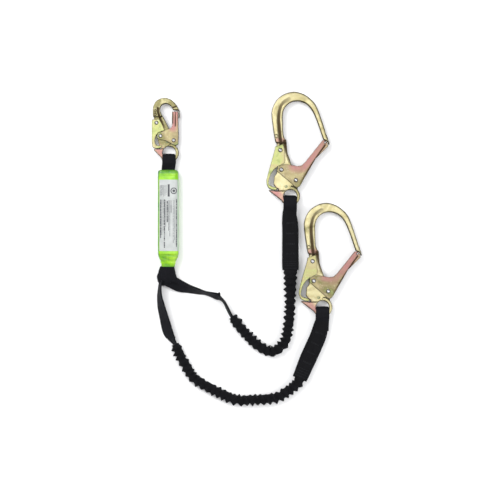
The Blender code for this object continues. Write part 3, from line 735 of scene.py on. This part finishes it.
thread = woven("black_thread", (0.015, 0.016, 0.018), (0.07, 0.075, 0.085), warp=0.0004,
               weft=0.0003, rough=0.55, relief=0.0001)
for leg, stations, seed in (("a", WEAR_A, 2.0), ("b", WEAR_B, 12.0)):
    hook = "rebar_hook_" + leg
    sleeve, centres = wear_sleeve("wear_sleeve_" + leg, stations, seed)
    last = len(centres) - 1
    rows = rows_across(sleeve, centres, [last - row for row in HEM_ROWS], 14.5, 2.1)
    tacks = [round(last * part) for part in TACKS]
    rows += rows_across(sleeve, centres, tacks, 9.0, 2.25, 1.9)
    rows += rows_across(sleeve, centres, [t + 1 for t in tacks], 9.0, 2.25, -1.9)
    stitched = bead_rows("wear_sleeve_stitches_" + leg, rows)
    dress(sleeve, None, "black_sleeve", sleeve_cloth, f"leg_{leg}_wear_sleeve")
    share(sleeve)
    dress(stitched, "root", "black_webbing", thread)

# %% [markdown]
# ## Yellow plated steel
#
# The hooks are forged steel with a zinc coat that has been dipped in a yellow finish. That
# finish is never one colour: it drifts from pale straw to olive, and turns pink or green
# where the film is thinner. So the colour comes from slow noise, and four painted values on
# the mesh help it: `wear` marks the rubbed edges and the painted highlight on each
# rivet head, `side` is painted shade on the steep flanks, `groove_shade` is painted shade in
# the recesses and on the rivet rims, and `blush` marks the places that went pink.

# %% Plated steel material
STRAW, OLIVE, TAN = (0.33, 0.29, 0.15), (0.17, 0.155, 0.07), (0.25, 0.205, 0.115)
PINK, LEAF = (0.30, 0.15, 0.14), (0.20, 0.23, 0.09)
# Painted shade: the dark colours that the steep flanks and the recesses of the steel are given.
STEEP_SIDE_SHADE, RECESS_SHADE = (0.022, 0.017, 0.009, 1), (0.035, 0.019, 0.009, 1)


def plated(name, stops, rough=0.34, patch=16.0, bare_and_glint=(0.55, 0.52, 0.40)):
    g = Graph(name)
    place = g.place()
    drift = g.noise(place, patch, 3.0, Roughness=0.55, Distortion=1.2)
    scuff = g.noise(place, 260.0, 4.0)
    grain = g.noise(place, 1100.0, 2.0)
    speck = g.ramp(scuff, (0.56, (0, 0, 0)), (0.74, (1, 1, 1)))
    marks = {key: g.painted(key) for key in ("wear", "side", "groove_shade", "blush")}
    colour = g.ramp(drift, *stops)
    colour = g.mix(g.math("MULTIPLY", speck, 0.35), colour, (*bare_and_glint, 1))
    cloud = g.noise(place, 75.0, 2.0)
    blush = g.math("MULTIPLY", marks["blush"], g.math("MULTIPLY", g.math("ADD", drift, cloud), 0.85))
    colour = g.mix(blush, colour, (*PINK, 1))
    # Worn edges on the forgings and a painted highlight on the rivet heads, then painted shade on the
    # steep flanks and in the recesses.
    colour = g.mix(g.math("MULTIPLY", marks["wear"], 0.4), colour, (*bare_and_glint, 1))
    colour = g.mix(g.math("MULTIPLY", marks["side"], 0.92), colour, STEEP_SIDE_SHADE)
    colour = g.mix(marks["groove_shade"], colour, RECESS_SHADE)
    worn = g.math("ADD", rough - 0.09, g.math("MULTIPLY", scuff, 0.2))
    worn = g.math("ADD", worn, g.math("MULTIPLY", marks["groove_shade"], 0.25))
    relief = g.bump(scuff, 0.3, 0.0004)
    g.set(Base_Color=colour, Metallic=0.82, Roughness=worn, Specular_Tint=(0.34, 0.3, 0.22, 1),
          Normal=g.bump(grain, 0.25, 0.0001, relief))
    return g.material


forging = plated("plated_forging", [(0.3, OLIVE), (0.4, STRAW), (0.5, (0.42, 0.38, 0.22)),
                                    (0.62, STRAW), (0.74, TAN)])
small_forging = plated("plated_small_forging", [(0.3, (0.15, 0.13, 0.055)), (0.45, OLIVE),
                                                (0.58, (0.36, 0.33, 0.18)), (0.72, TAN)])
gate_sheet = plated("plated_gate", [(0.3, LEAF), (0.42, OLIVE), (0.55, TAN), (0.7, STRAW)],
                    rough=0.4, patch=26.0)
lever_sheet = plated("plated_lever", [(0.3, LEAF), (0.42, (0.33, 0.35, 0.14)), (0.56, STRAW),
                                      (0.72, (0.40, 0.35, 0.22))], rough=0.38, patch=24.0)
# The near white here is the painted highlight in each rivet's dimple, and the colour of its scratches.
rivet_steel = plated("rivet_steel", [(0.3, (0.13, 0.13, 0.14)), (0.7, (0.3, 0.3, 0.3))],
                     rough=0.3, bare_and_glint=(0.9, 0.9, 0.9))
spring_steel = plated("spring_wire", [(0.3, (0.10, 0.16, 0.09)), (0.7, (0.3, 0.34, 0.22))],
                      rough=0.35, bare_and_glint=(0.5, 0.52, 0.42))
print("steels:", forging.name, small_forging.name, gate_sheet.name, lever_sheet.name)

# %% [markdown]
# ## From a solid to a forging
#
# A machined solid has sharp edges that no forging or pressing has. To soften one, we rebuild
# its skin from small even cells and then let every point drift a little towards its
# neighbours. Flat faces stay flat and every edge becomes round.

# %% Even cells


def even_skin(node, name, cell):
    source = frame["nodes"][node]
    mesh = source.data.copy()
    mesh.transform(source.matrix_world)
    piece = show(name, mesh)
    remesh = piece.modifiers.new("cells", "REMESH")
    remesh.mode = "VOXEL"
    remesh.voxel_size = cell * MM
    bpy.context.view_layer.update()
    done = bpy.data.meshes.new_from_object(piece.evaluated_get(bpy.context.evaluated_depsgraph_get()))
    piece.modifiers.clear()
    piece.data = done
    done.shade_smooth()
    return piece


def mesh_arrays(mesh):
    points = np.empty(len(mesh.vertices) * 3)
    mesh.vertices.foreach_get("co", points)
    edges = np.empty(len(mesh.edges) * 2, dtype=np.int64)
    mesh.edges.foreach_get("vertices", edges)
    return points.reshape(-1, 3), edges.reshape(-1, 2)


def averaged(values, edges, times, strength=0.5):
    """Let each value drift towards the mean of its neighbours."""
    values = values.copy()
    count = np.bincount(edges.ravel(), minlength=len(values)).reshape(-1, *([1] * (values.ndim - 1)))
    for _ in range(times):
        total = np.zeros_like(values)
        np.add.at(total, edges[:, 0], values[edges[:, 1]])
        np.add.at(total, edges[:, 1], values[edges[:, 0]])
        values += strength * (total / np.maximum(count, 1) - values)
    return values


def paint(mesh, name, values):
    layer = mesh.attributes.new(name, "FLOAT", "POINT")
    layer.data.foreach_set("value", np.clip(values, 0, 1).astype(np.float32))


gate_pivot = joint_places("_gate_opens")
print("gate pivots in mm:", {k: [round(c / MM, 1) for c in v] for k, v in gate_pivot.items()})

# %% [markdown]
# The even cells also give us something to press and to paint. We draw a channel as a route
# in millimetres from the gate pivot, and push the skin in wherever it is near that route.
# Then we measure how strongly the skin bends at each point and keep that as wear, since the
# edges that stick out are the ones that get rubbed.

# %% Pressing and softening


def near(local, route):
    """How far each point is from a route drawn on the face of the hook, in mm, and how far
    along the route it is, from 0 to 1."""
    away, part = np.full(len(local), 1e9), np.zeros(len(local))
    line = smooth_path([(x, y, 0) for x, y in route], 1.0)
    for i, p in enumerate(line):
        gap = np.hypot(local[:, 0] - p.x, local[:, 1] - p.y)
        part[gap < away] = i / len(line)
        away = np.minimum(away, gap)
    return away, part


def soften(node, name, cell, rounds, grooves=(), rings=(), blush=()):
    """grooves are (route, half width, depth), rings are (x, y, radius) and blush is
    (route, half width), all in mm from the gate pivot of the hook."""
    piece = even_skin(node, name, cell)
    mesh = piece.data
    points, edges = mesh_arrays(mesh)
    points = averaged(points, edges, rounds)
    hook = next(key for key in gate_pivot if node.startswith(key))
    local = points / MM - np.array(gate_pivot[hook]) / MM
    normals = np.empty(points.size)
    mesh.vertices.foreach_set("co", points.ravel())
    mesh.update()
    mesh.vertices.foreach_get("normal", normals)
    normals = normals.reshape(-1, 3)
    facing = np.clip((np.abs(normals[:, 2]) - 0.55) / 0.3, 0, 1)
    cut, dark, pink = (np.zeros(len(points)) for _ in range(3))
    # dark is painted shade that fills the pressed channels and the stamped rings.
    for route, half, depth in grooves:
        away, part = near(local, route)
        dip = np.clip((half - away) / (0.6 * half), 0, 1)
        dip = dip * dip * (3 - 2 * dip) * facing * (1 - 0.7 * part ** 4)
        cut, dark = np.maximum(cut, dip * depth), np.maximum(dark, 0.93 * dip)
    for x, y, radius in rings:
        away = np.abs(np.hypot(local[:, 0] - x, local[:, 1] - y) - radius)
        dip = np.clip((1.3 - away) / 0.6, 0, 1) * facing
        cut, dark = np.maximum(cut, dip * 0.5), np.maximum(dark, dip * 0.7)
    for route, half in blush:
        pink = np.maximum(pink, np.clip(1.4 - near(local, route)[0] / half, 0, 1))
    points[:, 2] -= cut * np.sign(normals[:, 2]) * MM
    mesh.vertices.foreach_set("co", points.ravel())
    mesh.update()
    step = points[edges[:, 1]] - points[edges[:, 0]]
    step /= np.maximum(np.linalg.norm(step, axis=1, keepdims=True), 1e-12)
    bend = np.zeros(len(points))
    np.add.at(bend, edges[:, 0], -(step * normals[edges[:, 0]]).sum(axis=1))
    np.add.at(bend, edges[:, 1], (step * normals[edges[:, 1]]).sum(axis=1))
    bend = averaged(bend / 4, edges, 2)
    paint(mesh, "wear", (bend - 0.05) / 0.14 * (1 - dark))
    # Painted shade: the steeper the skin, the darker its colour, so the outline of the steel reads
    # dark.
    flank_shade = np.clip((0.93 - np.abs(normals[:, 2])) / 0.3, 0, 1)
    paint(mesh, "side", 1.7 * averaged(flank_shade, edges, 7))
    paint(mesh, "groove_shade", dark)
    paint(mesh, "blush", pink)
    return piece


# %% [markdown]
# ## The three hook frames
#
# The two big scaffold hooks come from one die and the small snap hook from another. A
# forging die leaves a shallow channel along the bow, where metal was squeezed away to make
# the hook lighter. Small round marks are stamped low on the back of the bow, and the small
# hook has two bands across its nose. We press them all into the front and the back, and
# darken them with painted shade.

# %% Forged frames
BIG_CHANNEL = [(-31.0, 74), (-34.2, 100), (-36.4, 130), (-34, 149), (-27.5, 162.5), (-14, 171.5)]
BIG_SHOULDER = [(-24, 82), (-19.5, 66), (-14, 48), (-11.5, 40)]
SMALL_CHANNEL = [(-33.6, 68), (-32.0, 56), (-26.5, 41), (-20, 26)]
SMALL_NOSE = [[(-3, 68.5), (9, 73)], [(-1, 63), (12, 65)]]
for hook in gate_pivot:
    if hook == "snap_hook":
        body = soften(hook + "_frame", hook + "_forging", 0.6, 9,
                      grooves=[(SMALL_CHANNEL, 2.9, 1.0)] + [(r, 2.0, 0.6) for r in SMALL_NOSE],
                      rings=[(-39, 62.3, 2.2), (-39, 54.7, 2.2)], blush=[([(-36, -14), (-24, -30)], 9)])
    else:
        body = soften(hook + "_frame", hook + "_forging", 0.8, 12,
                      grooves=[(BIG_CHANNEL, 4.9, 1.3), (BIG_SHOULDER, 5.4, 1.0)],
                      rings=[(-41, 93, 3.4)], blush=[([(-50, -20), (-30, -38)], 10),
                                                     ([(-38, 84), (-28, 84)], 6)])
    dress(body, hook + "_body", "plated_steel", small_forging if hook == "snap_hook" else forging,
          hook + "_frame")

# %% [markdown]
# ## Gates and levers
#
# The gate and the lock lever are pressed from sheet, so they want a smaller rounding than
# the forging. They come out of a different bath and show more olive, and the long arm of
# the gate went pink.

# %% Gates and levers
BIG_ARM = [(-4, 28), (16, 30), (36, 52), (56, 82)]
BIG_FLANGE = [(62, 74), (49, 56), (33, 32), (20, 11), (10, -7)]
SMALL_ARM = [(-2, 26), (2, 44), (4, 60)]
SMALL_RIBS = [[(-1.8, 36), (-1.4, 60)], [(3.4, 30), (4.0, 60)]]
for hook in gate_pivot:
    small = hook == "snap_hook"
    # The pressed flange and ribs get painted shade, and so do the steep flanks of gate and lever.
    gate = soften(hook + "_gate", hook + "_pressed_gate", 0.55, 3,
                  grooves=[(r, 1.6, 0.35) for r in SMALL_RIBS] if small else [(BIG_FLANGE, 2.4, 0.4)],
                  blush=[(SMALL_ARM, 8) if small else (BIG_ARM, 11)])
    dress(gate, hook + "_gate_body", "plated_sheet", gate_sheet, hook + "_gate")
    lever = soften(hook + "_lock_lever", hook + "_pressed_lever", 0.55, 3)
    dress(lever, hook + "_lever_body", "plated_sheet", lever_sheet, hook + "_lock_lever")

# %% [markdown]
# ## Rivets, studs and springs
#
# Each pivot is a steel rivet whose head was spun over by a tool with a small nipple, which
# leaves a dimple in the middle. The dimple gets a painted highlight and the rim painted
# shade. One profile, turned about the pivot, makes every one of them. The springs are
# already fine coils of wire, so they keep their shape and only get the dark oiled finish.

# %% Rivets and springs
HEAD = [(0.02, -0.55), (0.2, -0.5), (0.34, -0.12), (0.46, 0.0), (0.62, -0.03), (0.84, -0.28),
        (0.97, -0.72), (1.0, -1.0), (0.985, -1.3)]  # parts of the radius and of the crown
SHANK = (0.62, 1.35)  # how thick the shank is and how deep it starts, in the same parts
PIN_SIDES = 40
# The painted highlight covers the middle of each rivet head and the painted shade its rim.
GLINT_REACH, SHADED_RIM = 0.36, 0.8  # parts of the radius


def headed_pin(node, name):
    """A rivet with the same rounded head at both ends."""
    low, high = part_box(node)
    middle = middle_of(node)
    radius, half = (high.x - low.x) / 2, (high.z - low.z) / 2
    crown = min(radius * 0.3, half * 0.45)
    upper = [(r * radius, half + z * crown) for r, z in HEAD]
    upper.append((radius * SHANK[0], half - crown * SHANK[1]))
    profile = upper + [(r, -z) for r, z in reversed(upper)]
    turns = [math.tau * k / PIN_SIDES for k in range(PIN_SIDES)]
    rings = [[middle + Vector((math.cos(a) * r, math.sin(a) * r, z)) for a in turns]
             for r, z in profile]
    piece = loft(name, rings)
    # Painted highlight in the dimple and painted shade on the rim of each head.
    wear = [1.0 if r / radius < GLINT_REACH else 0.0 for r, z in profile for _ in turns]
    dark = [0.9 if r / radius > SHADED_RIM else 0.0 for r, z in profile for _ in turns]
    paint(piece.data, "wear", np.array(wear))
    paint(piece.data, "groove_shade", np.array(dark))
    return piece


for hook in gate_pivot:
    for node in ("lever_rivet", "gate_rivet"):
        dress(headed_pin(f"{hook}_{node}", f"{hook}_{node}_head"), hook + "_body", "rivet_steel",
              rivet_steel, f"{hook}_{node}")
    for node in ("gate_stud_front", "gate_stud_back", "gate_tip_pin"):
        if f"{hook}_{node}" in frame["nodes"]:
            dress(headed_pin(f"{hook}_{node}", f"{hook}_{node}_head"), hook + "_gate_body",
                  "rivet_steel", rivet_steel, f"{hook}_{node}")
    for node in ("gate_spring", "lever_spring"):
        cover_with(frame["nodes"][f"{hook}_{node}"], spring_steel)

# %% [markdown]
# ## Green shrink film
#
# The folded tear webbing is sealed in a bright green plastic film that is shrunk on with
# heat. The film glows a little because light goes into it and comes back out, so it gets
# some subsurface scattering under a glossy skin. Where it is gathered and doubled it turns a
# deeper green, and painted shade darkens its creases, its flanks and its two ends towards a
# deep bottle green. The mesh carries both as a value called `fold`.

# %% Green film material


def shrink_film():
    g = Graph("green_film")
    place = g.place()
    cloud = g.noise(place, 38.0, 3.0)
    crinkle = g.noise(place, 210.0, 3.0, Distortion=2.0)
    # fold holds the deeper green of doubled film together with painted shade in creases, on the flanks
    # and at the ends.
    fold = g.painted("fold")
    colour = g.ramp(cloud, (0.3, (0.14, 0.40, 0.008)), (0.52, (0.27, 0.56, 0.012)),
                    (0.72, (0.42, 0.68, 0.04)))
    colour = g.mix(fold, colour, (0.012, 0.13, 0.03, 1))
    worn = g.math("ADD", 0.2, g.math("MULTIPLY", crinkle, 0.22))
    g.set(Base_Color=colour, Roughness=worn, Normal=g.bump(crinkle, 0.45, 0.0006),
          Subsurface_Weight=0.25, Subsurface_Radius=(0.002, 0.004, 0.001), Subsurface_Scale=1.0,
          Coat_Weight=0.2, Coat_Roughness=0.15, Specular_IOR_Level=0.3)
    return g.material


green_film = shrink_film()
print("film:", green_film.name)

# %% [markdown]
# ## The absorber pack
#
# The film is stretched tight round the folded webbing, so the middle is a rounded block with
# four soft corners. At the top it turns over the end and is pinched round the strap, and at
# the bottom it runs down to a narrow neck with creases all round. The creases start where
# the film starts to shrink and grow towards the neck.

# %% Pack cover
PACK_MIDDLE = middle_of("absorber_cover") / MM
HALF_WIDTH, HALF_THICK, PACK_POWER = 21.8, 13.1, 5
# y, half width, half thickness, how deep the creases are, how dark the painted fold shade is
COVER = [(92.2, 15.2, 6.4, 1.1, 1.0), (91.4, 18.6, 9.6, 1.2, 0.95), (89.4, 20.6, 12.0, 1.0, 0.75),
         (86.5, 21.5, 12.9, 0.7, 0.8), (84, 21.7, 13.0, 0.5, 0.25),
         (81, 21.8, 13.1, 0.3, 0.0), (72, 21.8, 13.1, 0.15, 0.0),
         (0, 21.8, 13.1, 0.12, 0.0), (-78, 21.8, 13.1, 0.2, 0.0), (-86, 21.6, 12.9, 0.6, 0.05),
         (-91, 20.6, 12.4, 1.3, 0.35), (-94.5, 19.2, 11.9, 1.6, 0.1), (-98, 17.6, 11.2, 1.7, 0.4),
         (-103, 15.8, 10.2, 1.6, 0.05), (-109.5, 14.4, 9.0, 1.2, 0.3), (-113, 13.6, 8.2, 0.8, 0.9)]


def swell(x, y, z):
    """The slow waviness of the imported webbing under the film, in mm."""
    return 0.35 * noise.noise(Vector((x * 0.05, y * 0.045, 3.0 + z * 0.02)))


def pack_cover():
    section = superellipse(HALF_WIDTH, HALF_THICK, PACK_POWER, 128)
    rings, doubling_and_shade = [], []
    for y, half_width, half_thick, crease, shade in smooth_path(COVER, 1.4):
        ring = []
        for p in section:
            x, z = p.x * half_width / HALF_WIDTH, p.y * half_thick / HALF_THICK
            angle = math.atan2(z, x)
            fan = noise.noise(Vector((math.cos(angle) * 3.4, math.sin(angle) * 3.4, y * 0.03)))
            cross = noise.noise(Vector((x * 0.05, y * 0.24 + x * 0.04, 7.0 + z * 0.04)))
            push = crease * (0.55 * fan + 0.6 * cross) - 0.25 * crease + swell(x, y, z)
            grow = 1 + push / math.hypot(x, z)
            ring.append(mm(PACK_MIDDLE.x + x * grow, y, PACK_MIDDLE.z + z * grow))
            # Painted shade: the crease valleys, the left flank and a thin line at the right edge go
            # darker, and the shade column darkens the two ends.
            valley = max(0.0, -(0.5 * fan + cross)) * min(1.0, crease)
            flank_shade = max(0.0, 1 - (x + HALF_WIDTH) / 3.2)
            flank_shade += max(0.0, 1 - (HALF_WIDTH - x) / 1.2) * 0.5
            doubling_and_shade.append(min(1.0, 0.8 * shade + 0.7 * valley + flank_shade))
        rings.append(ring)
    piece = loft("pack_film", rings)
    paint(piece.data, "fold", np.array(doubling_and_shade))
    return piece


dress(pack_cover(), "root", "green_cover", green_film, "absorber_cover")

# %% [markdown]
# ## The printed label
#
# A white label is stuck along the pack and its right edge runs round the side. It carries
# rows of small print that read along the length. We print only plain bars in their place:
# words become dashes, the heading becomes one solid block, and the mark beside it becomes a
# ring with a dot. The ink is painted on a grid that is fine enough for clean edges.

# %% Label
LABEL_TOP, LABEL_BOTTOM, LABEL_LEFT = 71.0, -79.5, -18.4
LABEL_UNDER = -6  # the right edge ends on the side of the pack, lower than its middle
LABEL_GAP = 0.32  # how far the label stands off the film
LABEL_CUTS = 300  # corners of the ring round the pack
CLEAR_EDGE = 37.6  # past this distance across, the label is clear film without paper
GRID = 0.5
# across, start, end, thickness in mm from the label's top left corner, darkness
ROWS = [(2.7, 41.5, 123, 2.0, 1.0), (5.6, 41.5, 117, 1.1, 0.6), (8.2, 42, 110, 1.1, 0.5),
        (11.0, 41.5, 144, 2.0, 0.95), (13.8, 42, 100, 1.1, 0.5), (16.9, 43, 90, 2.0, 1.0),
        (19.8, 43, 108, 1.2, 0.65), (22.4, 43, 120, 1.2, 0.55), (25.0, 43, 70, 1.2, 0.55),
        (29.6, 43, 134, 1.3, 0.5), (32.4, 43, 128, 1.1, 0.45), (36.4, 41.3, 142, 2.1, 1.0)]
ROWS += [(2.0 + 2.5 * k, 11, 36 - 2 * (k % 3), 1.1, 0.5) for k in range(6)]
BLOCK = (17.6, 22.2, 9.5, 36.0)
MARK = (30.6, 23.5)


def ink_at(across, along):
    if BLOCK[0] < across < BLOCK[1] and BLOCK[2] < along < BLOCK[3]:
        return 1.0
    away = math.hypot(across - MARK[0], along - MARK[1])
    if 5.0 < away < 7.0 or away < 2.9:
        return 1.0
    for middle, start, end, thick, dark in ROWS:
        if abs(across - middle) < 0.6 * thick and start < along < end:
            word = noise.noise(Vector((along * 1.1, middle * 3.7, 0.0)))
            return min(1.0, 1.35 * dark) if word > -0.3 else 0.0
    return 0.0


def label_arc():
    """The label's cross-section, from its left edge over the front and down the right side."""
    section = superellipse(HALF_WIDTH + LABEL_GAP, HALF_THICK + LABEL_GAP, PACK_POWER, LABEL_CUTS)
    last = next(i for i in range(LABEL_CUTS - 1, 0, -1) if section[i].y < LABEL_UNDER)
    front = [p for p in section[:LABEL_CUTS // 2] if p.x > LABEL_LEFT]
    return (section[last:] + front)[::-1]


def printed_label():
    arc_points = label_arc()
    across = [0.0]
    for a, b in zip(arc_points, arc_points[1:]):
        across.append(across[-1] + (b - a).length)
    count = round((LABEL_TOP - LABEL_BOTTOM) / GRID)
    shape = bmesh.new()
    grid, ink, edge = [], [], []
    for k in range(count + 1):
        along = k * GRID
        y = LABEL_TOP - along
        row = []
        for p, a in zip(arc_points, across):
            grow = 1 + (swell(p.x, y, p.y) + 0.05) / p.length
            row.append(shape.verts.new(mm(PACK_MIDDLE.x + p.x * grow, y, PACK_MIDDLE.z + p.y * grow)))
            ink.append(ink_at(a, along))
            edge.append(max(0.0, min(1.0, (a - CLEAR_EDGE) / 2.5)))
        grid.append(row)
    for upper, lower in zip(grid, grid[1:]):
        for j in range(len(upper) - 1):
            shape.faces.new((upper[j], upper[j + 1], lower[j + 1], lower[j]))
    bmesh.ops.recalc_face_normals(shape, faces=shape.faces)
    piece = show_shape("printed_label", shape)
    paint(piece.data, "ink", np.array(ink))
    paint(piece.data, "edge", np.array(edge))
    print("label reaches", round(across[-1], 1), "mm round the pack")
    return piece


def label_paper():
    g = Graph("label_film")
    place = g.place()
    cloud = g.noise(place, 60.0, 4.0)
    fine = g.noise(place, 420.0, 3.0)
    ink = g.painted("ink")
    edge = g.painted("edge")
    paper = g.ramp(cloud, (0.3, (0.35, 0.37, 0.36)), (0.7, (0.45, 0.47, 0.46)))
    paper = g.mix(g.math("MULTIPLY", edge, 0.6), paper, (0.26, 0.50, 0.22, 1))
    colour = g.mix(ink, paper, (0.012, 0.014, 0.022, 1))
    worn = g.math("ADD", 0.3, g.math("MULTIPLY", fine, 0.2))
    relief = g.bump(cloud, 0.3, 0.0008, g.bump(fine, 0.1, 0.0001))
    g.set(Base_Color=colour, Roughness=worn, Normal=relief, Coat_Weight=0.25, Coat_Roughness=0.2)
    return g.material


dress(printed_label(), "root", "label_film", label_paper(), "absorber_label")

# %% [markdown]
# ## What hides inside
#
# The folded tear webbing and the stretchy cores are never seen while the lanyard is whole,
# but they still belong to it. They keep their solid shape and get their real finish: a pale
# loosely woven tape, and rubber threads under a thin grey yarn.

# %% Hidden pieces


def hidden_cloth(name, dark, light, pitch, rough):
    g = Graph(name)
    place = g.place()
    first = thread_wave(g, place, "X", pitch)
    second = thread_wave(g, place, "Y", pitch * 0.8)
    weave = g.math("MULTIPLY", g.math("ADD", first, second), 0.5)
    g.set(Base_Color=g.ramp(weave, (0.2, dark), (0.8, light)), Roughness=rough,
          Normal=g.bump(weave, 0.6, 0.0004), Sheen_Weight=0.1)
    return g.material


inside = {"absorber_core": hidden_cloth("tear_webbing", (0.45, 0.42, 0.35), (0.72, 0.70, 0.62),
                                        0.0016, 0.8)}
for leg in "ab":
    inside[f"leg_{leg}_elastic_core"] = hidden_cloth("elastic_core_" + leg, (0.05, 0.05, 0.055),
                                                     (0.16, 0.16, 0.17), 0.0012, 0.65)
for node, material in inside.items():
    cover_with(frame["nodes"][node], material)
print("finished inside:", ", ".join(inside))
